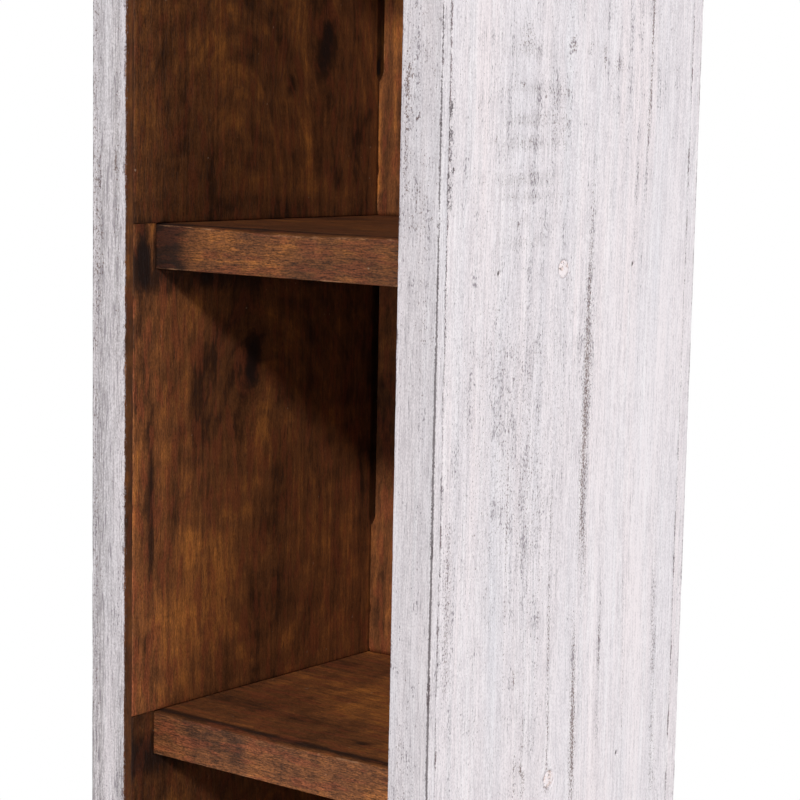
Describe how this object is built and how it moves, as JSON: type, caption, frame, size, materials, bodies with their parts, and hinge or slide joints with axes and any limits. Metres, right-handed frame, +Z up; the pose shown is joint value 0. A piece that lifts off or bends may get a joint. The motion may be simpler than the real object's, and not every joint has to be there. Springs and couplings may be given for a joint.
{
  "type": "cd tower",
  "caption": "Tall narrow open tower with a whitewashed wooden case, a brown lining and fixed shelves for compact disc cases.",
  "frame": {"origin": "middle of the base, on the floor", "axes": "+Z up, front towards -Y, +X to the right of someone who faces the front"},
  "size_m": [0.142, 0.146, 0.88],
  "materials": {
    "whitewashed_wood": "thin white paint over open-grained wood, rubbed through on the arrises",
    "brown_wood": "dark walnut stain, satin",
    "steel": "plain steel",
    "plug_wood": "thin white paint, mostly rubbed off"
  },
  "bodies": {
    "root": {"left_side_panel": "whitewashed_wood", "right_side_panel": "whitewashed_wood", "left_front_facing": "whitewashed_wood", "right_front_facing": "whitewashed_wood", "top_panel": "whitewashed_wood", "top_front_facing": "whitewashed_wood", "back_panel": "whitewashed_wood", "left_liner_1": "brown_wood", "left_liner_2": "brown_wood", "left_liner_3": "brown_wood", "left_liner_4": "brown_wood", "left_liner_5": "brown_wood", "right_liner_1": "brown_wood", "right_liner_2": "brown_wood", "right_liner_3": "brown_wood", "right_liner_4": "brown_wood", "right_liner_5": "brown_wood", "left_base_liner": "brown_wood", "right_base_liner": "brown_wood", "ceiling_board": "brown_wood", "plinth_rail": "brown_wood", "bottom_board": "brown_wood", "shelf_1": "brown_wood", "shelf_2": "brown_wood", "shelf_3": "brown_wood", "shelf_4": "brown_wood", "back_board_1": "brown_wood", "back_board_2": "brown_wood", "back_board_3": "brown_wood", "back_board_4": "brown_wood", "back_board_5": "brown_wood", "left_shelf_screws": "steel", "left_side_brads": "steel", "left_plinth_brad": "steel", "right_shelf_screws": "steel", "right_side_brads": "steel", "right_plinth_brad": "steel", "back_panel_brads": "steel", "back_shelf_brads": "steel", "top_panel_brads": "steel", "left_screw_plugs": "plug_wood", "right_screw_plugs": "plug_wood"}
  },
  "joints": []
}
